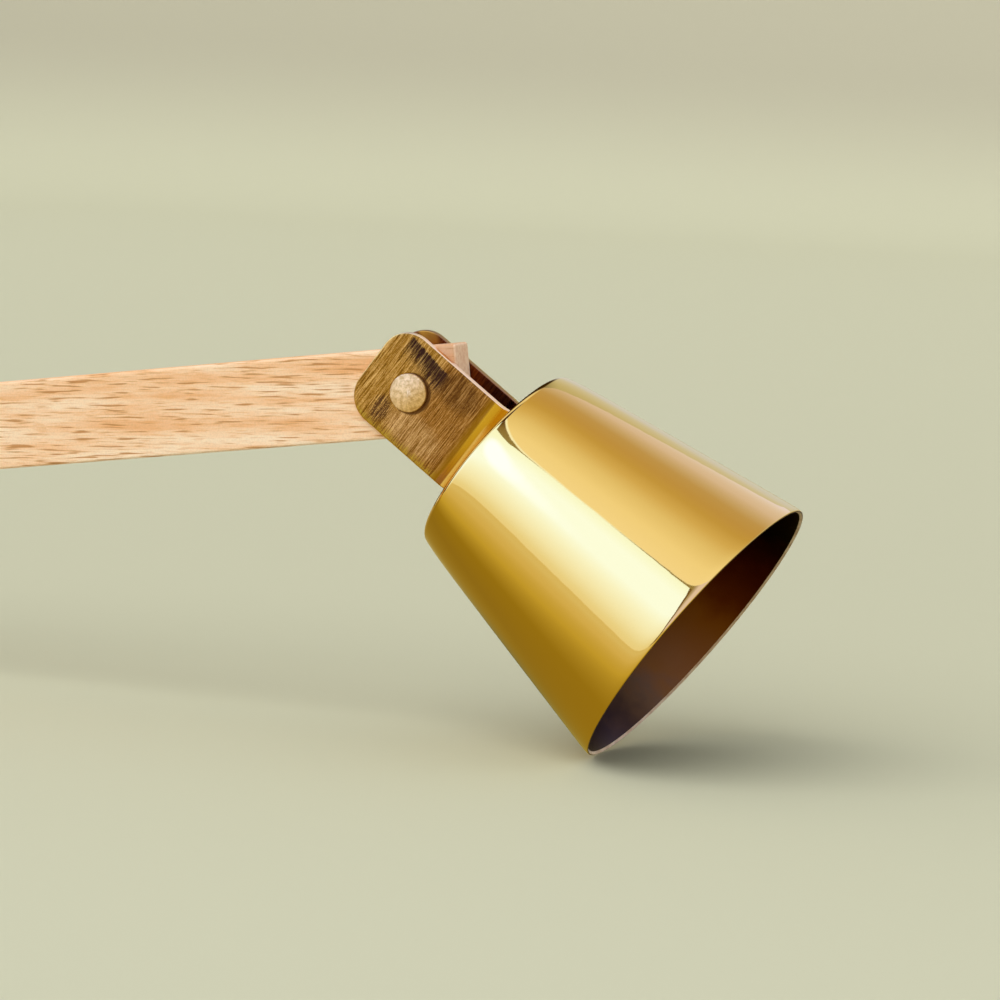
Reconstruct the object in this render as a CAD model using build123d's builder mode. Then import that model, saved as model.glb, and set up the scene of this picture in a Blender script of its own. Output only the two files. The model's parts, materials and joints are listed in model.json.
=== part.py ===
from build123d import *
import os
from math import asin, atan2, cos, degrees, hypot, radians, sin, sqrt, tan

# Candle snuffer: a thin brass bell on a folding bracket, carried by a flat wooden handle.
# It stands on a table as it is put down, on the lowest point of the bell's mouth and on the
# lower edge of the handle's far end. The handle runs along X, the hinge axis lies along Y
# and +Z is up. The origin is on the table, under the middle of the whole length.
# Lengths are in millimetres and angles in degrees.

# Bell
mouth_diameter = 38.0
top_diameter = 25.4
bell_height = 32.0
bell_wall = 0.5
shoulder_inner_radius = 0.5
rim_rounding = 0.15
bell_tilt = 35.4

# Bracket
sheet_thickness = 0.9
ear_width = 12.4
ear_reach = 6.0
ear_corner_radius = 3.6
pivot_to_bell = 12.3
base_flat_width = 2.4
sheet_edge_rounding = 0.2

# Handle
handle_width = 10.6
handle_thickness = 4.7
handle_reach = 230.0
handle_nose = 5.9
handle_edge_rounding = 0.35

# Pivot rivet, with its head at the front
pivot_shank_diameter = 2.4
pivot_head_diameter = 4.6
pivot_head_edge = 0.4
pivot_head_crown = 0.25
pivot_tail_diameter = 4.2
pivot_tail_edge = 0.25
pivot_tail_crown = 0.45

# Bell rivet, with its head between the ears, hammered down into the bend
bell_shank_diameter = 1.8
bell_head_diameter = 3.0
bell_head_edge = 0.7
bell_head_crown = 0.4
bell_tail_diameter = 3.6
bell_tail_edge = 0.25
bell_tail_crown = 0.45
rivet_edge_rounding = 0.12

# Clearances
ear_clearance = 0.05
pivot_head_clearance = 0.04
shank_clearance = 0.04

# Sizes of the bell that follow from its outline
cone_angle = atan2((mouth_diameter - top_diameter) / 2, bell_height)
wall_across = bell_wall / cos(cone_angle)
mouth_radius = mouth_diameter / 2
top_radius = top_diameter / 2
pivot_to_mouth = pivot_to_bell + bell_height
shoulder_outer_radius = shoulder_inner_radius + bell_wall

# Sizes of the bracket and its rivets that follow from the handle
ear_gap = handle_thickness + 2 * ear_clearance
bracket_thickness = ear_gap + 2 * sheet_thickness
pivot_grip = bracket_thickness + 2 * pivot_head_clearance

# The strip is bent in a half circle round the gap, and its outside is flat where it meets the bell
bend_outer_radius = bracket_thickness / 2
bend_inner_radius = ear_gap / 2
bend_to_bell = sqrt(bend_outer_radius**2 - (base_flat_width / 2) ** 2)
pivot_to_bend = pivot_to_bell - bend_to_bell
base_thickness = bend_to_bell - bend_inner_radius

# The rim's rounded outer corner, measured from the pivot along the bell's axis and out from it
rim_along = pivot_to_mouth - rim_rounding
rim_out = mouth_radius - rim_rounding * (tan(cone_angle) + 1 / cos(cone_angle))

# The handle's rounded far corner, measured from the pivot along the handle and across it
corner_along = handle_reach - handle_edge_rounding
corner_across = handle_width / 2 - handle_edge_rounding

# The pose on the table: the rim sets the pivot's height, which sets the handle's pitch
tilt = radians(bell_tilt)
pivot_height = rim_along * sin(tilt) + rim_out * cos(tilt) + rim_rounding
corner_drop = pivot_height - handle_edge_rounding
pitch = asin(corner_drop / hypot(corner_along, corner_across)) - atan2(corner_across, corner_along)

# The pivot's place along X leaves the whole length evenly about the origin
reach_right = rim_along * cos(tilt) + rim_out * sin(tilt) + rim_rounding
reach_left = corner_along * cos(pitch) + corner_across * sin(pitch) + handle_edge_rounding
pivot_x = (reach_left - reach_right) / 2

pivot = Vector(pivot_x, 0, pivot_height)
bell_direction = Vector(cos(tilt), 0, -sin(tilt))
handle_direction = Vector(cos(pitch), 0, sin(pitch))

# Side planes hold the outlines seen from the front, with x from the pivot along the piece
bell_side = Plane(origin=pivot, x_dir=bell_direction, z_dir=(0, -1, 0))
handle_side = Plane(origin=pivot, x_dir=handle_direction, z_dir=(0, -1, 0))

# The bracket's strip section has x along the bell's axis and y along the hinge axis
strip_section = Plane(origin=pivot, x_dir=bell_direction, z_dir=bell_side.y_dir)

# The bell's flat top, facing along its axis
bell_top = Plane(origin=pivot + bell_direction * pivot_to_bell, z_dir=bell_direction)
bell_line = Axis(origin=pivot, direction=bell_direction)

# Rivet planes have x from under the head along the shank
pivot_rivet_side = Plane(
    origin=pivot - Vector(0, pivot_grip / 2, 0), x_dir=(0, 1, 0), z_dir=(1, 0, 0)
)
bell_rivet_side = Plane(
    origin=pivot + bell_direction * (pivot_to_bell - base_thickness),
    x_dir=bell_direction,
    z_dir=(0, -1, 0),
)


def rivet_section(side, grip, shank_radius, head, tail):
    """Half of a rivet cut lengthwise. head and tail each give a radius, an edge height
    and the rise of the crown above that edge."""
    head_radius, head_edge, head_crown = head
    tail_radius, tail_edge, tail_crown = tail
    head_apex = (-head_edge - head_crown, 0)
    head_corner = (-head_edge, head_radius)
    tail_corner = (grip + tail_edge, tail_radius)
    tail_apex = (grip + tail_edge + tail_crown, 0)
    with BuildSketch(side) as section:
        with BuildLine():
            TangentArc(head_apex, head_corner, tangent=(0, 1))
            Polyline(
                head_corner,
                (0, head_radius),
                (0, shank_radius),
                (grip, shank_radius),
                (grip, tail_radius),
                tail_corner,
            )
            TangentArc(tail_apex, tail_corner, tangent=(0, 1))
            Line(tail_apex, head_apex)
        make_face()
        for corner in (head_corner, tail_corner):
            fillet(section.vertices().sort_by_distance(corner)[0], rivet_edge_rounding)
    return section.sketch


# Handle: a square-cut stick with eased edges, drilled across for the pivot
with BuildPart() as handle:
    with BuildSketch(handle_side):
        with Locations((-handle_reach, 0)):
            Rectangle(handle_reach + handle_nose, handle_width, align=(Align.MIN, Align.CENTER))
    extrude(amount=handle_thickness / 2, both=True)
    fillet(handle.edges(), handle_edge_rounding)
    with Locations(handle_side):
        Hole(pivot_shank_diameter / 2 + shank_clearance)

# Bracket: one strip bent into a U, its ears rounded at their tips and its base on the bell
with BuildPart() as bracket:
    with BuildSketch(strip_section):
        with Locations((pivot_to_bend, 0)):
            Circle(bend_outer_radius)
        with Locations((-ear_reach, 0)):
            Rectangle(ear_reach + pivot_to_bend, bracket_thickness, align=(Align.MIN, Align.CENTER))
            Rectangle(
                ear_reach + pivot_to_bend,
                ear_gap,
                align=(Align.MIN, Align.CENTER),
                mode=Mode.SUBTRACT,
            )
        with Locations((pivot_to_bend, 0)):
            Circle(bend_inner_radius, mode=Mode.SUBTRACT)
        with Locations((pivot_to_bell, 0)):
            Rectangle(
                bend_outer_radius,
                bracket_thickness,
                align=(Align.MIN, Align.CENTER),
                mode=Mode.SUBTRACT,
            )
    extrude(amount=ear_width / 2, both=True)
    tip_corners = bracket.edges().filter_by(Axis.Y).sort_by(bell_line)[:4]
    fillet(tip_corners, ear_corner_radius)
    tip_faces = bracket.faces().filter_by(GeomType.PLANE).sort_by(bell_line)[:2]
    across_tips = Axis(origin=pivot, direction=bell_side.y_dir)
    fillet(tip_faces.edges().filter_by(across_tips), sheet_edge_rounding)
    with Locations(bell_side):
        Hole(pivot_shank_diameter / 2 + shank_clearance)
    with Locations(bell_top):
        Hole(bell_shank_diameter / 2 + shank_clearance)

# Bell: a thin cone with a closed flat top, drilled in the middle for its rivet
with BuildPart() as bell:
    shoulder = (pivot_to_bell, top_radius)
    rim_outer = (pivot_to_mouth, mouth_radius)
    rim_inner = (pivot_to_mouth, mouth_radius - wall_across)
    top_inside = pivot_to_bell + bell_wall
    shoulder_inner = (top_inside, top_radius + bell_wall * tan(cone_angle) - wall_across)
    hole_radius = bell_shank_diameter / 2 + shank_clearance
    with BuildSketch(bell_side) as wall:
        with BuildLine():
            Polyline(
                (pivot_to_bell, hole_radius),
                shoulder,
                rim_outer,
                rim_inner,
                shoulder_inner,
                (top_inside, hole_radius),
                close=True,
            )
        make_face()
        fillet(wall.vertices().sort_by_distance(shoulder)[0], shoulder_outer_radius)
        fillet(wall.vertices().sort_by_distance(shoulder_inner)[0], shoulder_inner_radius)
        fillet(wall.vertices().sort_by_distance(rim_outer)[0], rim_rounding)
        fillet(wall.vertices().sort_by_distance(rim_inner)[0], rim_rounding)
    revolve(axis=bell_line)

# Pivot rivet: it holds the ears to the handle, tight enough to stay where it is folded
with BuildPart() as pivot_rivet:
    revolve(
        rivet_section(
            pivot_rivet_side,
            pivot_grip,
            pivot_shank_diameter / 2,
            (pivot_head_diameter / 2, pivot_head_edge, pivot_head_crown),
            (pivot_tail_diameter / 2, pivot_tail_edge, pivot_tail_crown),
        ),
        axis=Axis(origin=pivot, direction=(0, 1, 0)),
    )

# Bell rivet: it clamps the bracket's base on the bell's top, its head shaped by the bend
with BuildPart() as bell_rivet:
    revolve(
        rivet_section(
            bell_rivet_side,
            base_thickness + bell_wall,
            bell_shank_diameter / 2,
            (bell_head_diameter / 2, bell_head_edge, bell_head_crown),
            (bell_tail_diameter / 2, bell_tail_edge, bell_tail_crown),
        ),
        axis=bell_line,
    )
    add(bracket.part, mode=Mode.SUBTRACT)

handle.part.label = "handle"
bracket.part.label = "bracket"
bell.part.label = "bell"
pivot_rivet.part.label = "pivot_rivet"
bell_rivet.part.label = "bell_rivet"

os.makedirs("parts", exist_ok=True)
export_step(handle.part, "parts/handle.step")
export_step(bracket.part, "parts/bracket.step")
export_step(bell.part, "parts/bell.step")
export_step(pivot_rivet.part, "parts/pivot_rivet.step")
export_step(bell_rivet.part, "parts/bell_rivet.step")

print(f"pivot at x {pivot_x:.4f}, z {pivot_height:.4f}; handle pitch {degrees(pitch):.4f} degrees")
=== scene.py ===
import json
from math import atan2, cos, exp, pi, radians, sin

import bpy
from mathutils import Matrix, Vector


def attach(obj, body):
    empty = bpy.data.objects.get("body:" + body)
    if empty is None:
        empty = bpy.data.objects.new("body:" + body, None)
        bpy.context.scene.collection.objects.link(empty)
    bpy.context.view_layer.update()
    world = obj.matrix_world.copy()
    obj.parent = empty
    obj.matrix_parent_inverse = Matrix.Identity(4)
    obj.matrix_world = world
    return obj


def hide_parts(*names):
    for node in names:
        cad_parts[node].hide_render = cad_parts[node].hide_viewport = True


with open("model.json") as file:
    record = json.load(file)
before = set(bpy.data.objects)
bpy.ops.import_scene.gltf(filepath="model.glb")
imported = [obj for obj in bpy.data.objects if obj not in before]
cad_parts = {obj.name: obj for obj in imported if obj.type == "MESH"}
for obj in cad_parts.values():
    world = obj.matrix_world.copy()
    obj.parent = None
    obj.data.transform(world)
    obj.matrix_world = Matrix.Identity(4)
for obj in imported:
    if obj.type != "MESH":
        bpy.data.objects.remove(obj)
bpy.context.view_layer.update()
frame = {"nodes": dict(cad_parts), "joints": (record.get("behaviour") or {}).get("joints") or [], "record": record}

# A candle snuffer with a polished brass bell, a brushed brass bracket and a pale wooden handle,
# on a sage floor in soft light, most of it from the front left. Lengths are in metres, angles in
# degrees and colours linear.

# Directions that the pieces are laid out along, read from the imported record
joint = frame["joints"][0]
pivot = Vector(joint["pos_m"])
mounts = {mount["name"]: mount for mount in frame["record"]["mounts"]}
bell_axis = Vector(mounts["mouth_rim"]["axis"]).normalized()
handle_axis = -Vector(mounts["handle_end"]["axis"]).normalized()
hinge_axis = Vector(joint["axis"]).normalized()
bell_up = bell_axis.cross(hinge_axis)
handle_up = handle_axis.cross(hinge_axis)

# Bell, measured from the pivot along its axis and out from it
bell_top = 0.0123
bell_height = 0.032
top_radius = 0.0127
mouth_radius = 0.019
bell_wall = 0.0005
bell_hole_radius = 0.00094
shoulder_radius = 0.0008
inner_corner_radius = 0.0005
side_bulge = 0.0002
shoulder_ease = 0.0003
shoulder_ease_length = 0.002
rim_ease = 0.000135
rim_ease_length = 0.00045
rim_rounding = 0.00014
rim_chamfer = 0.00026
bell_sides = 192
arc_steps = 8
side_steps = 40

# Sizes of the bell that follow from those
cone_grade = (mouth_radius - top_radius) / bell_height
slant = atan2(mouth_radius - top_radius, bell_height)
mouth_along = bell_top + bell_height

# Places on the bracket where one colour gives way to another, from where the change starts to
# where it ends. They are measured from the pivot: first along the bell's axis, then across it,
# and last out along the hinge.
# The brown zone, the dark band before the bend, the bend's colours and its highlight are painted reflection
brown_start = (-0.0005, 0.003)
dark_band_fade = (0.0078, 0.0088)
bend_start = (0.0089, 0.0092)
bend_highlight_start = (0.00972, 0.0099)
bend_highlight_top = (0.0015, 0.0038)
bare_lower_edge = (-0.0060, -0.0055)
ear_inner_face = (0.00243, 0.0025)

# Spots on the bracket, each with its centre and radii along the bell's axis and across it
# The tan spot is painted reflection
tan_spot = ((0.0032, -0.0037), (0.004, 0.0022))
stain_spot = ((-0.0038, 0.0053), (0.0016, 0.0008))
# Dark patches of painted reflection beside and below the rivet
dark_reflection_beside_rivet = ((0.0048, 0.0040), (0.0030, 0.0022))
dark_reflection_below_rivet = ((-0.0017, -0.0038), (0.0012, 0.0018))

# Painted shadow round the pivot rivet's head, a little off its centre, and the ears' half width
rivet_shadow_centre = (0.00026, 0.00008)
rivet_shadow_edge = (0.00240, 0.00262)
ear_half_width = 0.0062

# Brushed lines: repeats per metre along the bell's axis, across it and along the hinge
fine_lines = (14000.0, 480.0, 480.0)
broad_lines = (6300.0, 160.0, 160.0)
line_grain = 9000.0
streak_reach = 0.006

# Handle. Its shade changes over a little more than its height, and it is painted dimmer between the
# ears as shade. The grain is turned a little against it, and its repeats per metre are given along the
# grain, across it and along the hinge.
shaded_half_height = 0.0055
handle_in_ears = (0.0015, 0.0045)
grain_turn = 4.0
band_grain = (45.0, 420.0, 420.0)
cluster_grain = (60.0, 260.0, 260.0)
pore_grain = (220.0, 3400.0, 3400.0)
faint_pore_grain = (420.0, 3900.0, 3900.0)

# Where a soft spot starts to fade and where it is gone, in shares of its radii
spot_core = 0.6
spot_reach = 1.3

# Camera, placed from the pivot
camera_azimuth = 20.653
camera_elevation = 5.203
camera_roll = -2.917
camera_distance = 0.5
picture_side = 1000
focal_pixels = 4196.9
pivot_pixel = (419.06, 390.92)
sensor_width = 36.0
clip_start = 0.01

# Floor, a dish that rises all round into a low wall
floor_flat_radius = 1.15
wall_radius = 1.6
wall_height = 0.6
floor_sides = 96
cove_steps = 16
mirrored_floor_ring = 0.3
near_floor_fade = (-0.15, 0.10)
wall_fade = (0.0, 0.07)

# Light: the even part of the world, and three suns that each give the floor a share
ambient = 0.59
key_share = 0.42
key_azimuth = -20.0
key_elevation = 36.0
key_spread = 75.0
fill_share = 0.04
fill_azimuth = -10.0
fill_elevation = 12.0
fill_spread = 60.0
side_share = 0.05
side_azimuth = 95.0
side_elevation = 12.0
side_spread = 60.0

# Softbox, seen only in polished metal: x to the right and y up, measured from its place
softbox_azimuth = -30.0
softbox_elevation = 20.0
softbox_distance = 0.7
softbox_frame_gap = 0.002
softbox_corners = (
    (-0.9, -0.36), (0.0, -0.345), (0.15, -0.305), (0.25, -0.26), (0.295, -0.18), (0.295, 0.385),
    (0.170, 0.394), (0.130, 0.390), (0.082, 0.434), (0.038, 0.468), (-0.034, 0.540), (-0.3, 0.75),
    (-0.9, 0.75),
)
softbox_frame_corners = (
    (0.05, -0.345), (0.20, -0.325), (0.300, -0.285), (0.340, -0.19), (0.325, 0.385), (0.2, 0.385),
)

# Ceiling panel, seen only in polished metal: x and y measured from over the pivot
ceiling_height = 0.8
ceiling_right = 1.2
ceiling_front = -0.735
ceiling_back = 2.0
ceiling_corner = (
    (-0.075, ceiling_front), (-0.105, -0.715), (-0.125, -0.674), (-0.132, -0.62),
)
ceiling_left = (
    (-0.135, -0.56), (-0.135, -0.225), (-0.108, -0.147), (0.009, 0.673), (0.047, 0.79),
    (0.050, 0.95), (0.037, 1.275), (-0.01, ceiling_back),
)
ceiling_edge_width = 0.022
ceiling_edge_rise = 0.002
ceiling_edge_back = 0.2
ceiling_edge_left = -0.05
ceiling_edge_right = 0.2

# Colours
floor_colour = (0.580, 0.577, 0.424, 1.0)
# The front floor's paler colour is painted light, and the wall's darker colour painted shade
near_floor_colour = (0.632, 0.632, 0.470, 1.0)
wall_colour = (0.445, 0.425, 0.320, 1.0)


def direction(azimuth, elevation):
    """The unit vector towards a point of the compass: azimuth 0 is -Y and 90 is +X."""
    a, e = radians(azimuth), radians(elevation)
    return Vector((sin(a) * cos(e), -cos(a) * cos(e), sin(e)))


def node(tree, kind, inputs=None, **settings):
    """A new shader node. An input is given a value, or another node's output to be linked."""
    made = tree.nodes.new(kind)
    for name, value in settings.items():
        setattr(made, name, value)
    for key, value in (inputs or {}).items():
        if isinstance(value, bpy.types.NodeSocket):
            tree.links.new(value, made.inputs[key])
        else:
            made.inputs[key].default_value = value
    return made


def new_material(name):
    """An empty node material, with its tree."""
    material = bpy.data.materials.new(name)
    material.use_nodes = True
    material.node_tree.nodes.clear()
    return material, material.node_tree


def surface(tree, kind, inputs):
    """Ends a material in a shader of the given kind."""
    shader = node(tree, kind, inputs)
    node(tree, "ShaderNodeOutputMaterial", {"Surface": shader.outputs[0]})


def math(tree, operation, *values):
    """The output of a Math node."""
    inputs = dict(enumerate(values))
    return node(tree, "ShaderNodeMath", inputs, operation=operation).outputs[0]


def added(tree, value, other, share):
    """A value with a share of another added to it."""
    return math(tree, "ADD", value, math(tree, "MULTIPLY", other, share))


def centred(tree, value):
    """A texture's height measured from its middle."""
    return math(tree, "SUBTRACT", value, 0.5)


def ramp(tree, factor, stops):
    """The colour output of a Color Ramp with the given (position, colour) stops."""
    made = node(tree, "ShaderNodeValToRGB", {"Fac": factor})
    elements = made.color_ramp.elements
    while len(elements) < len(stops):
        elements.new(1.0)
    for element, (position, colour) in zip(elements, stops):
        element.position = position
        element.color = (*colour, 1.0)
    return made.outputs["Color"]


def mix(tree, factor, a, b, blend="MIX"):
    """The colour output of a Mix node."""
    made = node(tree, "ShaderNodeMix", data_type="RGBA", blend_type=blend)
    for key, value in ((0, factor), (6, a), (7, b)):
        if isinstance(value, bpy.types.NodeSocket):
            tree.links.new(value, made.inputs[key])
        else:
            made.inputs[key].default_value = value
    return made.outputs[2]


def dot(tree, vector, axis):
    """How far a vector reaches along an axis."""
    inputs = {0: vector, 1: axis}
    return node(tree, "ShaderNodeVectorMath", inputs, operation="DOT_PRODUCT").outputs["Value"]


def from_pivot(tree):
    """The place on the object, measured from the pivot."""
    place = node(tree, "ShaderNodeTexCoord").outputs["Object"]
    inputs = {0: place, 1: pivot}
    return node(tree, "ShaderNodeVectorMath", inputs, operation="SUBTRACT").outputs[0]


def joined(tree, x, y, z):
    """A vector out of three numbers."""
    return node(tree, "ShaderNodeCombineXYZ", {0: x, 1: y, 2: z}).outputs[0]


def laid_out(tree, axes, scales):
    """The place measured along each axis, times that axis's scale."""
    place = from_pivot(tree)
    return joined(tree, *(
        math(tree, "MULTIPLY", dot(tree, place, axis), scale)
        for axis, scale in zip(axes, scales)
    ))


def between(tree, value, low, high, from_value=0.0, to_value=1.0):
    """A value eased from one number to another while the input goes from low to high."""
    inputs = {0: value, 1: low, 2: high, 3: from_value, 4: to_value}
    made = node(tree, "ShaderNodeMapRange", inputs, interpolation_type="SMOOTHSTEP")
    return made.outputs[0]


def between_evenly(tree, value, low, high):
    """How far a value has come from low to high, from 0 to 1."""
    return node(tree, "ShaderNodeMapRange", {0: value, 1: low, 2: high}).outputs[0]


def noise(tree, vector, scale, detail, roughness):
    """The height output of a Noise texture."""
    inputs = {"Vector": vector, "Scale": scale, "Detail": detail, "Roughness": roughness}
    return node(tree, "ShaderNodeTexNoise", inputs).outputs["Fac"]


def dress(name, material):
    """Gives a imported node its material."""
    slots = frame["nodes"][name].data.materials
    slots.clear()
    slots.append(material)


def arc(centre, radius, start, stop):
    """Places on an arc in the bell's section, each with the normal there."""
    for k in range(arc_steps + 1):
        a = start + (stop - start) * k / arc_steps
        yield (centre[0] + radius * cos(a), centre[1] + radius * sin(a)), (cos(a), sin(a))


def eased(place, normal):
    """The outside's place and normal with the side's slight bulge, eased in at both its ends."""
    past_top = place[0] - bell_top
    to_rim = bell_height - past_top
    at_top = shoulder_ease * exp(-past_top / shoulder_ease_length)
    at_rim = rim_ease * exp(-to_rim / rim_ease_length)
    out = place[1] + side_bulge * to_rim / bell_height - at_top - at_rim
    slope = at_top / shoulder_ease_length - at_rim / rim_ease_length - side_bulge / bell_height
    turned = Vector((normal[0] - slope * normal[1], normal[1])).normalized()
    return (place[0], out), (turned[0], turned[1])


def bell_outside():
    """The outside of the bell's section, from its top's hole to its rim."""
    side_normal = (-sin(slant), cos(slant))
    drop = shoulder_radius * (1 - sin(slant)) / cos(slant)
    centre = (bell_top + shoulder_radius, top_radius - drop)
    shoulder = [eased(*point) for point in arc(centre, shoulder_radius, pi, pi / 2 + slant)]
    rim_drop = rim_rounding * (1 + sin(slant)) / cos(slant)
    rim_centre = (mouth_along - rim_rounding, mouth_radius - rim_drop)
    rim = [eased(*point) for point in arc(rim_centre, rim_rounding, pi / 2 + slant, 0.0)]
    start = centre[0] - shoulder_radius * sin(slant)
    stop = rim[0][0][0]
    side = []
    for k in range(1, side_steps):
        share = (1 - cos(pi * k / side_steps)) / 2
        along = start + (stop - start) * share
        out = mouth_radius - (mouth_along - along) * cone_grade
        side.append(eased((along, out), side_normal))
    return [((bell_top, bell_hole_radius), (-1.0, 0.0))] + shoulder + side + rim


def bell_inside():
    """The inside of the bell's section in two parts: its chamfered rim, then its wall and top."""
    across = bell_wall / cos(slant)
    chamfer_out = mouth_radius - across - rim_chamfer * cone_grade
    chamfer_start = (mouth_along - rim_chamfer, chamfer_out)
    chamfer_end = (mouth_along, chamfer_out + rim_chamfer)
    facing_in = (cos(pi / 4), -sin(pi / 4))
    floor = bell_top + bell_wall
    corner_out = top_radius + bell_wall * cone_grade - across
    drop = inner_corner_radius * (1 - sin(slant)) / cos(slant)
    centre = (floor + inner_corner_radius, corner_out - drop)
    corner = [
        (place, (-normal[0], -normal[1]))
        for place, normal in arc(centre, inner_corner_radius, pi / 2 + slant, pi)
    ]
    rim = [(chamfer_end, (1.0, 0.0)), (chamfer_end, facing_in), (chamfer_start, facing_in)]
    wall = [(chamfer_start, (sin(slant), -cos(slant)))] + corner
    wall.append(((floor, bell_hole_radius), (1.0, 0.0)))
    return rim, wall


def spun(name, sections):
    """A piece turned about the bell's axis, with one material slot for each open section."""
    vertices, normals, faces, slots = [], [], [], []
    for slot, section in enumerate(sections):
        for ring, ((along, out), (lean, rise)) in enumerate(section):
            first = len(vertices)
            for k in range(bell_sides):
                a = 2 * pi * k / bell_sides
                radial = bell_up * cos(a) + hinge_axis * sin(a)
                vertices.append(pivot + bell_axis * along + radial * out)
                normals.append(bell_axis * lean + radial * rise)
            if ring == 0:
                continue
            for k in range(bell_sides):
                n = (k + 1) % bell_sides
                last = first - bell_sides
                faces.append((last + n, last + k, first + k, first + n))
                slots.append(slot)
    mesh = bpy.data.meshes.new(name)
    mesh.from_pydata(vertices, [], faces)
    mesh.polygons.foreach_set("material_index", slots)
    mesh.shade_smooth()
    mesh.normals_split_custom_set_from_vertices(normals)
    made = bpy.data.objects.new(name, mesh)
    bpy.context.scene.collection.objects.link(made)
    return made


def build_bell():
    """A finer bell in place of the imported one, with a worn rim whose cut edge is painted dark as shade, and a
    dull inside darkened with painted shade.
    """
    outside = bell_outside()
    rim, wall = bell_inside()
    cut = len(outside) - arc_steps // 2
    polished = outside[:cut]
    cut_edge = outside[cut - 1:] + rim[:1]
    bell = spun("fine_bell", [polished, cut_edge, rim[1:], wall])
    for material in (polished_brass(), brown_edge(), satin_rim(), dark_inside()):
        bell.data.materials.append(material)
    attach(bell, "head")
    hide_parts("bell")


def polished_brass():
    """Mirror-bright brass, very slightly uneven."""
    material, tree = new_material("polished_brass")
    uneven = noise(tree, from_pivot(tree), 280.0, 2.0, 0.5)
    bump = node(tree, "ShaderNodeBump", {"Strength": 1.0, "Distance": 0.000008, "Height": uneven})
    surface(tree, "ShaderNodeBsdfPrincipled", {
        "Base Color": (0.66, 0.37, 0.065, 1.0),
        "Metallic": 1.0,
        "Specular Tint": (1.0, 0.92, 0.66, 1.0),
        "Roughness": 0.04,
        "Normal": bump.outputs[0],
    })
    return material


def brown_edge():
    """The rim's cut edge, dull and brown, its darkness painted shade."""
    material, tree = new_material("brown_edge")
    patches = noise(tree, from_pivot(tree), 700.0, 2.0, 0.5)
    # Painted shade on the rim's cut edge
    colour = ramp(tree, patches, ((0.35, (0.07, 0.035, 0.012)), (0.65, (0.16, 0.085, 0.035))))
    surface(tree, "ShaderNodeBsdfPrincipled", {
        "Base Color": colour,
        "Metallic": 0.6,
        "Roughness": 0.5,
        "Specular IOR Level": 0.1,
    })
    return material


def satin_rim():
    """The rim's inner chamfer, rubbed pale."""
    material, tree = new_material("satin_rim")
    patches = noise(tree, from_pivot(tree), 900.0, 2.0, 0.5)
    colour = ramp(tree, patches, ((0.35, (0.74, 0.50, 0.34)), (0.65, (0.95, 0.72, 0.54))))
    surface(tree, "ShaderNodeBsdfPrincipled", {
        "Base Color": colour,
        "Metallic": 0.4,
        "Roughness": 0.45,
    })
    return material


def dark_inside():
    """The bell's unpolished inside, darkened with painted shade: blackest towards the top and purplish at the
    bottom.
    """
    material, tree = new_material("dark_inside")
    place = from_pivot(tree)
    blotches = noise(tree, place, 350.0, 3.0, 0.5)
    # Painted shade, blackest deep inside towards the bell's top
    height = added(tree, dot(tree, place, bell_up), centred(tree, blotches), 0.006)
    share = between_evenly(tree, height, -mouth_radius, mouth_radius)
    colour = ramp(tree, share, (
        (0.04, (0.040, 0.020, 0.014)),
        (0.14, (0.095, 0.045, 0.018)),
        (0.22, (0.14, 0.046, 0.007)),
        (0.42, (0.135, 0.036, 0.002)),
        (0.52, (0.09, 0.015, 0.001)),
        (0.66, (0.055, 0.006, 0.0005)),
        (0.80, (0.004, 0.0005, 0.0003)),
    ))
    surface(tree, "ShaderNodeBsdfPrincipled", {
        "Base Color": colour,
        "Metallic": 1.0,
        "Specular Tint": (1.0, 0.86, 0.60, 1.0),
        "Roughness": 0.4,
    })
    return material


def product(tree, *values):
    """All the values multiplied together."""
    result = values[0]
    for value in values[1:]:
        result = math(tree, "MULTIPLY", result, value)
    return result


def near_spot(tree, x, y, centre, radii):
    """1 inside an ellipse round the centre, easing to 0 outside it."""
    across = math(tree, "DIVIDE", math(tree, "SUBTRACT", x, centre[0]), radii[0])
    up = math(tree, "DIVIDE", math(tree, "SUBTRACT", y, centre[1]), radii[1])
    inputs = {0: joined(tree, across, up, 0.0)}
    away = node(tree, "ShaderNodeVectorMath", inputs, operation="LENGTH").outputs["Value"]
    return between(tree, away, spot_core, spot_reach, 1.0, 0.0)


def dark_reflection_patches(tree, along, across, streaks, colour):
    """Dark patches of painted reflection on the ears: one in the upper corner and two beside and below the rivet.
    """
    upper_limit = added(tree, added(tree, across, along, 0.134), streaks, 0.12)
    lower_limit = added(tree, added(tree, across, along, 0.314), streaks, -0.8)
    corner = product(
        tree,
        between(tree, along, -0.0039, -0.0035),
        between(tree, along, 0.0020, 0.0034, 1.0, 0.0),
        between(tree, upper_limit, 0.0050, 0.0052, 1.0, 0.0),
        between(tree, lower_limit, 0.0016, 0.0041),
        between(tree, streaks, -0.0003, 0.0009, 1.0, 0.80),
    )
    beside = product(
        tree,
        near_spot(tree, along, across, *dark_reflection_beside_rivet),
        between(tree, streaks, -0.0006, 0.0006, 0.9, 0.4),
    )
    below = product(
        tree,
        near_spot(tree, along, across, *dark_reflection_below_rivet),
        between(tree, streaks, -0.0002, 0.0004, 0.9, 0.0),
    )
    colour = mix(tree, beside, colour, (0.085, 0.024, 0.003, 1.0))
    colour = mix(tree, below, colour, (0.075, 0.024, 0.006, 1.0))
    return mix(tree, corner, colour, (0.032, 0.010, 0.004, 1.0))


def painted_rivet_shadow(tree, along, across, colour):
    """A painted shadow of the rivet's head: a thin dark crescent against it, on the side towards the bell."""
    inputs = {0: joined(tree, along, across, 0.0), 1: (*rivet_shadow_centre, 0.0)}
    away = node(tree, "ShaderNodeVectorMath", inputs, operation="DISTANCE").outputs["Value"]
    painted_shadow = between(tree, away, *rivet_shadow_edge, 0.85, 0.0)
    return mix(tree, painted_shadow, colour, (0.075, 0.022, 0.003, 1.0))


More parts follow.
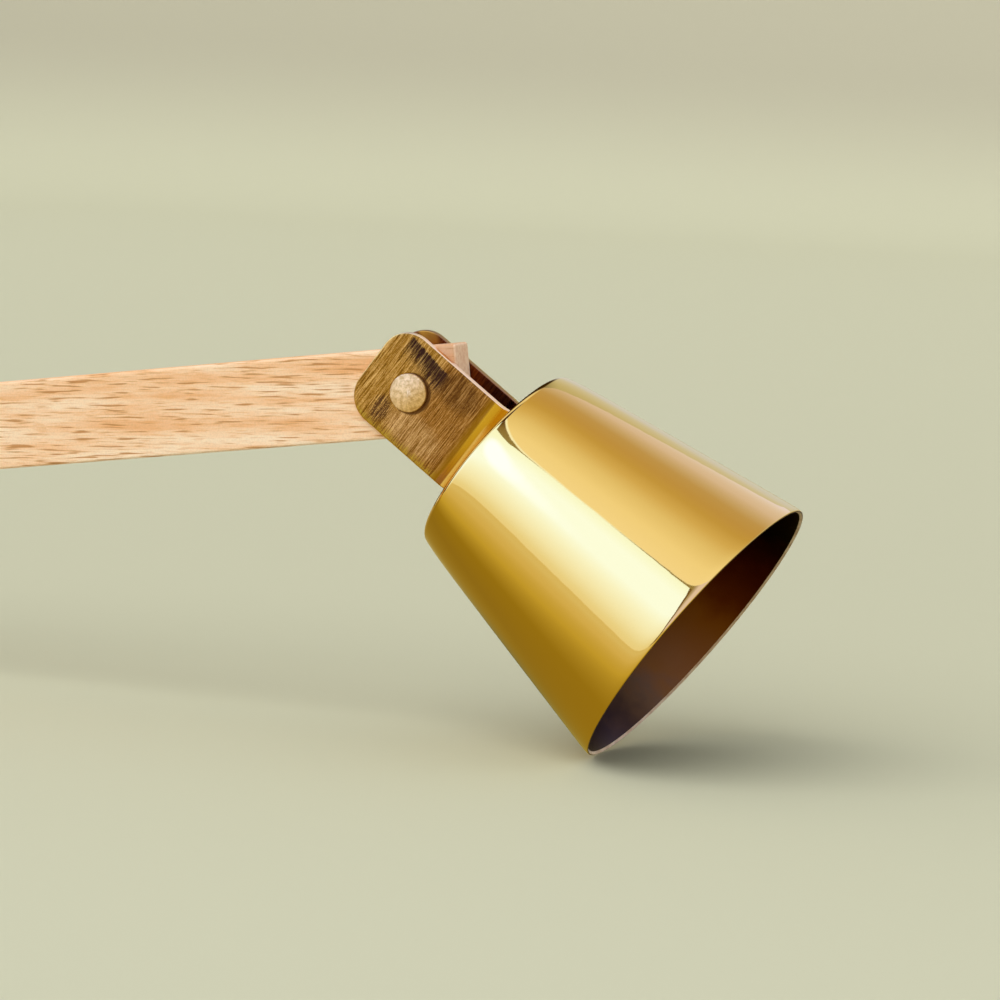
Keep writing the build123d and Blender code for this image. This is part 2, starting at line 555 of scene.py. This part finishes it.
def brushed_lines(tree, place):
    """The height of the lines brushed across the strip, with broader ones and a fine grain."""
    axes = (bell_axis, bell_up, hinge_axis)
    fine = noise(tree, laid_out(tree, axes, fine_lines), 1.0, 3.0, 0.7)
    broad = noise(tree, laid_out(tree, axes, broad_lines), 1.0, 2.0, 0.5)
    grain = noise(tree, place, line_grain, 2.0, 0.6)
    lines = added(tree, fine, centred(tree, broad), 0.50)
    return added(tree, lines, centred(tree, grain), 0.45)


def lined_colour(tree, lines, low, middle, high):
    """A colour that follows the brushed lines, given where they are low, halfway and high."""
    return ramp(tree, lines, ((0.33, low), (0.50, middle), (0.67, high)))


def ear_colour(tree, along, across, lines):
    """The ears' brass in painted reflection: golden at the tip, brown towards the bend and tan low down."""
    golden = lined_colour(
        tree, lines, (0.12, 0.034, 0.0015), (0.325, 0.122, 0.008), (0.66, 0.31, 0.050)
    )
    brown = lined_colour(
        tree, lines, (0.11, 0.028, 0.002), (0.265, 0.088, 0.007), (0.52, 0.215, 0.032)
    )
    tan = lined_colour(
        tree, lines, (0.15, 0.046, 0.003), (0.345, 0.136, 0.018), (0.64, 0.31, 0.066)
    )
    colour = mix(tree, between(tree, along, *brown_start), golden, brown)
    return mix(tree, near_spot(tree, along, across, *tan_spot), colour, tan)


def bend_colour(tree, along, across, streaks):
    """The smooth bend's brass, painted as reflection orange below and golden above, with a painted highlight next
    to the bell.
    """
    height = added(tree, across, streaks, 0.6)
    share = between_evenly(tree, height, -ear_half_width, ear_half_width)
    colour = ramp(tree, share, (
        (0.06, (0.28, 0.09, 0.012)),
        (0.20, (0.37, 0.128, 0.004)),
        (0.45, (0.47, 0.205, 0.007)),
        (0.80, (0.55, 0.250, 0.010)),
    ))
    # Painted highlight on the bend next to the bell
    highlight = product(
        tree,
        between(tree, along, *bend_highlight_start),
        between(tree, across, *bend_highlight_top, 1.0, 0.0),
    )
    return mix(tree, highlight, colour, (0.72, 0.40, 0.085, 1.0))


def gap_colour(tree, along, across, lines):
    """The dark brass between the ears, with an orange stain at the upper corner of their tips."""
    dark = ramp(tree, lines, ((0.40, (0.085, 0.014, 0.002)), (0.65, (0.25, 0.062, 0.008))))
    stain = near_spot(tree, along, across, *stain_spot)
    return mix(tree, stain, dark, (0.45, 0.17, 0.012, 1.0))


def cut_edges(tree, sideways):
    """Where the strip's cut edges are, and their brass: rubbed at the front with a painted highlight on the upper
    edges, and dull at the back as painted shade.
    """
    normal = node(tree, "ShaderNodeTexCoord").outputs["Normal"]
    rise = dot(tree, normal, bell_up)
    tip = dot(tree, normal, -bell_axis)
    edge = between(tree, math(tree, "MAXIMUM", math(tree, "ABSOLUTE", rise), tip), 0.3, 0.6)
    upper = between(tree, rise, 0.3, 0.6)
    # Rubbed bare edges, paler on the upper side as painted highlight; the back ones darker as painted shade
    rubbed = mix(tree, upper, (0.74, 0.42, 0.07, 1.0), (0.82, 0.52, 0.22, 1.0))
    front = between(tree, sideways, -0.001, 0.001, 1.0, 0.0)
    return edge, mix(tree, front, (0.26, 0.13, 0.04, 1.0), rubbed)


def brushed_brass():
    """Lines brushed across the strip, with painted reflection in golden, brown, tan and dark patches, a painted
    shadow by the rivet, a smooth bend and bare edges.
    """
    material, tree = new_material("brushed_brass")
    place = from_pivot(tree)
    along = dot(tree, place, bell_axis)
    across = dot(tree, place, bell_up)
    sideways = dot(tree, place, hinge_axis)
    lines = brushed_lines(tree, place)
    streaks = math(tree, "MULTIPLY", centred(tree, lines), streak_reach)
    colour = ear_colour(tree, along, across, lines)
    # Dark patches of painted reflection on the ears
    colour = dark_reflection_patches(tree, along, across, streaks, colour)
    # Painted shadow of the rivet's head on the ear
    colour = painted_rivet_shadow(tree, along, across, colour)
    bare = between(tree, added(tree, across, streaks, -0.7), *bare_lower_edge, 0.85, 0.0)
    colour = mix(tree, bare, colour, (0.40, 0.20, 0.010, 1.0))
    # A darker band before the bend, painted reflection
    smooth = math(tree, "MULTIPLY", between(tree, along, *dark_band_fade), 0.85)
    colour = mix(tree, smooth, colour, (0.262, 0.092, 0.0015, 1.0))
    bend = between(tree, along, *bend_start)
    colour = mix(tree, bend, colour, bend_colour(tree, along, across, streaks))
    gap = between(tree, math(tree, "ABSOLUTE", sideways), *ear_inner_face, 1.0, 0.0)
    colour = mix(tree, gap, colour, gap_colour(tree, along, across, lines))
    edge, edge_colour = cut_edges(tree, sideways)
    colour = mix(tree, edge, colour, edge_colour)
    bump = node(tree, "ShaderNodeBump", {"Strength": 0.3, "Distance": 0.00003, "Height": lines})
    surface(tree, "ShaderNodeBsdfPrincipled", {
        "Base Color": colour,
        "Metallic": 1.0,
        "Specular Tint": (1.0, 0.78, 0.42, 1.0),
        "Roughness": between(tree, bend, 0.0, 1.0, 0.34, 0.16),
        "Normal": bump.outputs[0],
    })
    return material


def rivet_brass():
    """Satin pale brass, slightly mottled, with painted shade making it darker and yellower towards the bell."""
    material, tree = new_material("rivet_brass")
    place = node(tree, "ShaderNodeTexCoord").outputs["Object"]
    patches = noise(tree, place, 2300.0, 5.0, 0.7)
    colour = ramp(tree, patches, ((0.38, (0.56, 0.285, 0.055)), (0.60, (0.82, 0.48, 0.130))))
    # Painted shade, darker and yellower towards the bell
    lower = between(tree, dot(tree, from_pivot(tree), bell_axis), -0.0006, 0.0020)
    colour = mix(tree, lower, colour, (0.84, 0.78, 0.55, 1.0), "MULTIPLY")
    surface(tree, "ShaderNodeBsdfPrincipled", {
        "Base Color": colour,
        "Metallic": 0.95,
        "Roughness": 0.55,
    })
    return material


def wood_bands(tree, axes):
    """The wood's soft bands, from golden to pale pink, darker towards the upper edge."""
    height = dot(tree, from_pivot(tree), handle_up)
    share = between_evenly(tree, height, -shaded_half_height, shaded_half_height)
    bands = noise(tree, laid_out(tree, axes, band_grain), 1.0, 4.0, 0.6)
    return ramp(tree, added(tree, bands, share, -0.10), (
        (0.30, (0.88, 0.49, 0.250)),
        (0.42, (0.955, 0.63, 0.395)),
        (0.56, (0.990, 0.765, 0.560)),
    ))


def wood_pores(tree, axes):
    """How deep the pores are, and how strong the stain round them and the faint ones between."""
    cluster = noise(tree, laid_out(tree, axes, cluster_grain), 1.0, 2.0, 0.5)
    pores = noise(tree, laid_out(tree, axes, pore_grain), 1.0, 1.5, 0.5)
    pores = added(tree, pores, centred(tree, cluster), 0.30)
    faint_pores = noise(tree, laid_out(tree, axes, faint_pore_grain), 1.0, 1.0, 0.5)
    deep = between(tree, pores, 0.575, 0.67, 0.0, 0.85)
    stain = between(tree, pores, 0.50, 0.62, 0.0, 0.40)
    faint = between(tree, faint_pores, 0.57, 0.68, 0.0, 0.35)
    return deep, math(tree, "MAXIMUM", stain, faint)


def pale_wood():
    """Peach-coloured wood with soft golden bands and short orange-brown pores along the grain."""
    material, tree = new_material("pale_wood")
    turn = radians(grain_turn)
    grain = handle_axis * cos(turn) - handle_up * sin(turn)
    axes = (grain, grain.cross(hinge_axis), hinge_axis)
    place = from_pivot(tree)
    deep, stain = wood_pores(tree, axes)
    colour = mix(tree, stain, wood_bands(tree, axes), (0.78, 0.39, 0.140, 1.0))
    colour = mix(tree, deep, colour, (0.53, 0.25, 0.090, 1.0))
    shade = between_evenly(tree, noise(tree, place, 5000.0, 2.0, 0.5), -3.0, 0.60)
    colour = mix(tree, 1.0, colour, joined(tree, shade, shade, shade), "MULTIPLY")
    # Painted shade on the handle between the ears
    in_ears = between(tree, dot(tree, place, handle_axis), *handle_in_ears)
    colour = mix(tree, in_ears, colour, (0.80, 0.80, 0.90, 1.0), "MULTIPLY")
    normal = node(tree, "ShaderNodeTexCoord").outputs["Normal"]
    end = between(tree, dot(tree, normal, handle_axis), 0.3, 0.9)
    mottled = noise(tree, place, 1600.0, 3.0, 0.65)
    end_colour = ramp(tree, mottled, ((0.38, (0.88, 0.56, 0.39)), (0.60, (1.0, 0.73, 0.55))))
    colour = mix(tree, end, colour, end_colour)
    bump = node(tree, "ShaderNodeBump", {
        "Strength": 0.3,
        "Distance": 0.00004,
        "Height": math(tree, "SUBTRACT", 1.0, deep),
    })
    surface(tree, "ShaderNodeBsdfPrincipled", {
        "Base Color": colour,
        "Roughness": 0.6,
        "Specular IOR Level": 0.0,
        "Normal": bump.outputs[0],
    })
    return material


def place_camera():
    """A camera at the photograph's angle, with the pivot on its own pixel."""
    toward = direction(camera_azimuth, camera_elevation)
    right = Vector((cos(radians(camera_azimuth)), sin(radians(camera_azimuth)), 0.0))
    level = Matrix((right, toward.cross(right), toward)).transposed()
    across = (pivot_pixel[0] - picture_side / 2) / focal_pixels
    down = (pivot_pixel[1] - picture_side / 2) / focal_pixels
    aim = Vector((0.0, 0.0, -1.0)).rotation_difference(Vector((across, -down, -1.0)))
    turned = level @ Matrix.Rotation(-radians(camera_roll), 3, "Z") @ aim.to_matrix().inverted()
    data = bpy.data.cameras.new("camera")
    data.sensor_width = sensor_width
    data.lens = focal_pixels * sensor_width / picture_side
    data.clip_start = clip_start
    camera = bpy.data.objects.new("camera", data)
    place = pivot + toward * camera_distance
    camera.matrix_world = Matrix.Translation(place) @ turned.to_4x4()
    bpy.context.scene.collection.objects.link(camera)
    bpy.context.scene.camera = camera


def stage_mesh(name, vertices, faces, material, smooth=False):
    """A piece of the studio, which isn't part of the object."""
    mesh = bpy.data.meshes.new(name)
    mesh.from_pydata(vertices, [], faces)
    mesh.materials.append(material)
    if smooth:
        mesh.shade_smooth()
    made = bpy.data.objects.new(name, mesh)
    bpy.context.scene.collection.objects.link(made)
    return made


def dish(name, material, profile):
    """A round floor through (radius, height) points, the first of them at the middle."""
    vertices = [(0.0, 0.0, profile[0][1])]
    for radius, height in profile[1:]:
        for k in range(floor_sides):
            a = 2 * pi * k / floor_sides
            vertices.append((radius * cos(a), radius * sin(a), height))
    faces = [(0, 1 + k, 1 + (k + 1) % floor_sides) for k in range(floor_sides)]
    for ring in range(len(profile) - 2):
        inner, outer = 1 + ring * floor_sides, 1 + (ring + 1) * floor_sides
        for k in range(floor_sides):
            n = (k + 1) % floor_sides
            faces.append((inner + k, outer + k, outer + n, inner + n))
    return stage_mesh(name, vertices, faces, material, smooth=True)


def floor_material():
    """Matt sage paper, painted lighter at the front as light and darker up the wall as shade, clear from below so
    that it never hides the object.
    """
    material, tree = new_material("floor_paper")
    _, y, z = own_place(tree)
    colour = mix(tree, between(tree, y, *near_floor_fade), near_floor_colour, floor_colour)
    colour = mix(tree, between(tree, z, *wall_fade), colour, wall_colour)
    matt = node(tree, "ShaderNodeBsdfDiffuse", {"Color": colour})
    clear = node(tree, "ShaderNodeBsdfTransparent")
    behind = node(tree, "ShaderNodeNewGeometry").outputs["Backfacing"]
    surface(tree, "ShaderNodeMixShader", {0: behind, 1: matt.outputs[0], 2: clear.outputs[0]})
    return material


def floor_profile():
    """Flat, then a quarter turn, then a straight wall."""
    bend = wall_radius - floor_flat_radius
    profile = [(0.0, 0.0), (floor_flat_radius / 4, 0.0), (floor_flat_radius, 0.0)]
    for k in range(1, cove_steps + 1):
        a = pi / 2 * k / cove_steps
        profile.append((floor_flat_radius + bend * sin(a), bend * (1 - cos(a))))
    return profile + [(wall_radius, wall_height)]


def metal_only(made):
    """Shows a piece of the studio only in polished surfaces."""
    made.visible_camera = False
    made.visible_diffuse = False
    made.visible_transmission = False
    made.visible_volume_scatter = False
    made.visible_shadow = False


def glowing_panel(name, corners, place, turn, glow):
    """A flat panel for polished metal to see, with its corners in its own x and y."""
    vertices = [(x, y, 0.0) for x, y in corners]
    made = stage_mesh(name, vertices, [range(len(corners))], glow)
    made.matrix_world = Matrix.Translation(place) @ turn
    metal_only(made)


def facing(ahead):
    """The turn of a panel square to a direction, its x to the right and its y up."""
    right = Vector((0.0, 0.0, 1.0)).cross(ahead).normalized()
    return Matrix((right, ahead.cross(right), ahead)).transposed().to_4x4()


def emission(name, colour):
    """A glowing material. Its colour is plain or worked out by a function of its node tree."""
    material, tree = new_material(name)
    shade = colour(tree) if callable(colour) else colour
    surface(tree, "ShaderNodeEmission", {"Color": shade, "Strength": 1.0})
    return material


def own_place(tree):
    """The x, y and z of a place on a piece of the studio."""
    place = node(tree, "ShaderNodeTexCoord").outputs["Object"]
    return node(tree, "ShaderNodeSeparateXYZ", {0: place}).outputs


def floor_in_metal(tree):
    """Painted light and shade for the floor as metal sees it: painted shade under the object, a painted sheen
    bright to the front, and the bell's painted shadow behind the rim.
    """
    x, y, _ = own_place(tree)
    away = between_evenly(tree, math(tree, "ABSOLUTE", y), 0.0, 0.2)
    front = ramp(tree, away, (
        (0.0, (0.40, 0.36, 0.10)),
        (0.10, (0.46, 0.42, 0.08)),
        (0.225, (0.81, 0.83, 0.33)),
        (0.45, (0.98, 1.07, 1.0)),
        (1.0, (1.05, 1.24, 1.6)),
    ))
    back = ramp(tree, away, (
        (0.0, (0.40, 0.36, 0.10)),
        (0.225, (0.46, 0.43, 0.18)),
        (1.0, (0.60, 0.58, 0.40)),
    ))
    lit = mix(tree, between(tree, y, -0.01, 0.01), front, back)
    shadow = near_spot(tree, x, y, (0.13, 0.065), (0.06, 0.06))
    return mix(tree, shadow, lit, (0.10, 0.09, 0.02, 1.0))


def softbox_glow(tree):
    """Whiter towards its top, as brass shows it, and brightest where its lamp is."""
    x, y, _ = own_place(tree)
    glow = ramp(tree, between_evenly(tree, y, -0.36, 0.40), (
        (0.0, (1.22, 1.50, 2.4)),
        (0.14, (1.25, 1.70, 3.4)),
        (0.28, (1.38, 2.1, 5.8)),
        (0.42, (1.45, 2.4, 8.0)),
        (0.55, (1.49, 2.65, 10.5)),
        (0.80, (1.49, 2.65, 10.5)),
        (1.0, (1.45, 2.5, 8.0)),
    ))
    lamp = near_spot(tree, x, y, (0.06, 0.19), (0.07, 0.14))
    return mix(tree, lamp, glow, (1.58, 2.80, 14.0, 1.0))


def ceiling_glow(tree):
    """Bright at the front, dim halfway and brighter again at the back."""
    _, y, _ = own_place(tree)
    back = between_evenly(tree, y, -0.72, 1.5)
    return ramp(tree, back, (
        (0.0, (1.38, 1.74, 3.4)),
        (0.12, (1.33, 1.65, 2.9)),
        (0.22, (1.15, 1.36, 2.0)),
        (0.29, (0.98, 1.03, 1.1)),
        (0.36, (0.82, 0.79, 0.63)),
        (0.42, (0.78, 0.73, 0.69)),
        (0.50, (0.78, 0.77, 0.96)),
        (0.56, (0.85, 0.93, 1.75)),
        (0.68, (1.00, 1.18, 3.3)),
        (1.0, (1.10, 1.40, 4.2)),
    ))


def sky_in_metal(tree, place):
    """What polished metal sees past the lights: pale walls, but dark to the front and left."""
    x, y, z = node(tree, "ShaderNodeSeparateXYZ", {0: place}).outputs
    walls = ramp(tree, z, (
        (0.0, (0.60, 0.58, 0.42)),
        (0.10, (0.74, 0.88, 1.0)),
        (0.30, (0.83, 1.07, 1.95)),
        (0.50, (0.85, 1.10, 2.1)),
        (0.70, (0.78, 1.00, 1.7)),
    ))
    gloom = ramp(tree, between_evenly(tree, y, -1.0, 1.0), (
        (0.10, (0.46, 0.50, 0.40)),
        (0.21, (0.44, 0.50, 0.58)),
        (0.263, (0.36, 0.36, 0.38)),
        (0.29, (0.21, 0.18, 0.12)),
        (0.312, (0.14, 0.095, 0.08)),
        (0.36, (0.12, 0.06, 0.03)),
        (0.60, (0.06, 0.04, 0.01)),
    ))
    share = between(tree, dot(tree, place, direction(-85.0, 25.0)), 0.25, 0.40)
    beside = product(tree, between(tree, y, 0.05, 0.20), between(tree, y, 0.45, 0.60, 1.0, 0.0))
    lit = mix(tree, beside, gloom, (1.25, 1.50, 2.6, 1.0))
    ahead = between(tree, dot(tree, place, direction(10.0, 40.0)), 0.78, 0.86)
    walls = mix(tree, ahead, walls, (1.13, 1.39, 4.6, 1.0))
    behind = product(tree, between(tree, y, 0.45, 0.60), between(tree, x, -0.42, -0.36, 1.0, 0.0))
    walls = mix(tree, behind, walls, (0.05, 0.03, 0.01, 1.0))
    return mix(tree, share, walls, lit)


def sun(name, share, azimuth, elevation, spread):
    """A soft sun that gives the floor its share of light and isn't seen in the metal."""
    data = bpy.data.lights.new(name, "SUN")
    data.angle = radians(spread)
    data.energy = share * pi / sin(radians(elevation))
    made = bpy.data.objects.new(name, data)
    made.rotation_mode = "QUATERNION"
    made.rotation_quaternion = direction(azimuth, elevation).to_track_quat("Z", "Y")
    made.visible_glossy = False
    bpy.context.scene.collection.objects.link(made)


def build_floor():
    """The floor, and a second, glowing one that only polished metal sees, painted with its light and shade."""
    floor = dish("floor", floor_material(), floor_profile())
    floor.visible_glossy = False
    level = [(0.0, 0.0), (mirrored_floor_ring, 0.0), (wall_radius, 0.0)]
    metal_only(dish("floor_in_metal", emission("floor_in_metal", floor_in_metal), level))


def build_softbox():
    """The large light at the front left, and its dim frame just behind it."""
    toward = direction(softbox_azimuth, softbox_elevation)
    turn = facing(toward)
    place = pivot + toward * softbox_distance
    glow = emission("softbox_glow", softbox_glow)
    glowing_panel("softbox", softbox_corners, place, turn, glow)
    place = pivot + toward * (softbox_distance + softbox_frame_gap)
    glow = emission("softbox_frame", (0.25, 0.20, 0.10, 1.0))
    glowing_panel("softbox_frame", softbox_frame_corners, place, turn, glow)


def build_ceiling():
    """The panel over the object, and a brighter strip that shows past its front left corner."""
    corners = [(ceiling_right, ceiling_front), *ceiling_corner, *ceiling_left]
    corners.append((ceiling_right, ceiling_back))
    level = Matrix.Identity(4)
    place = pivot + Vector((0.0, 0.0, ceiling_height))
    glowing_panel("ceiling", corners, place, level, emission("ceiling_glow", ceiling_glow))
    edge = [(x - ceiling_edge_width, y - ceiling_edge_width / 4) for x, y in ceiling_corner]
    edge += [(x - ceiling_edge_width, y) for x, y in ceiling_left[:2]]
    edge += [(ceiling_edge_left, ceiling_edge_back), (ceiling_edge_right, ceiling_edge_back)]
    edge.append((ceiling_edge_right, ceiling_front))
    place = pivot + Vector((0.0, 0.0, ceiling_height + ceiling_edge_rise))
    glow = emission("ceiling_edge_glow", (1.45, 2.20, 6.0, 1.0))
    glowing_panel("ceiling_edge", edge, place, level, glow)


def build_world():
    """Even light on matt surfaces, pale and dark walls in metal, the floor's colour beyond it."""
    world = bpy.data.worlds.new("studio")
    bpy.context.scene.world = world
    world.use_nodes = True
    tree = world.node_tree
    tree.nodes.clear()
    path = node(tree, "ShaderNodeLightPath")
    sky = node(tree, "ShaderNodeTexCoord").outputs["Generated"]
    plain = (ambient, ambient, ambient, 1.0)
    seen = mix(tree, path.outputs["Is Glossy Ray"], plain, sky_in_metal(tree, sky))
    shown = mix(tree, path.outputs["Is Camera Ray"], seen, floor_colour)
    light = node(tree, "ShaderNodeBackground", {"Color": shown, "Strength": 1.0})
    node(tree, "ShaderNodeOutputWorld", {"Surface": light.outputs[0]})


build_bell()
dress("bracket", brushed_brass())
dress("handle", pale_wood())
rivets = rivet_brass()
dress("pivot_rivet", rivets)
dress("bell_rivet", rivets)
build_floor()
build_softbox()
build_ceiling()
build_world()
sun("key", key_share, key_azimuth, key_elevation, key_spread)
sun("fill", fill_share, fill_azimuth, fill_elevation, fill_spread)
sun("side", side_share, side_azimuth, side_elevation, side_spread)
place_camera()
bpy.context.scene.view_settings.view_transform = "Standard"
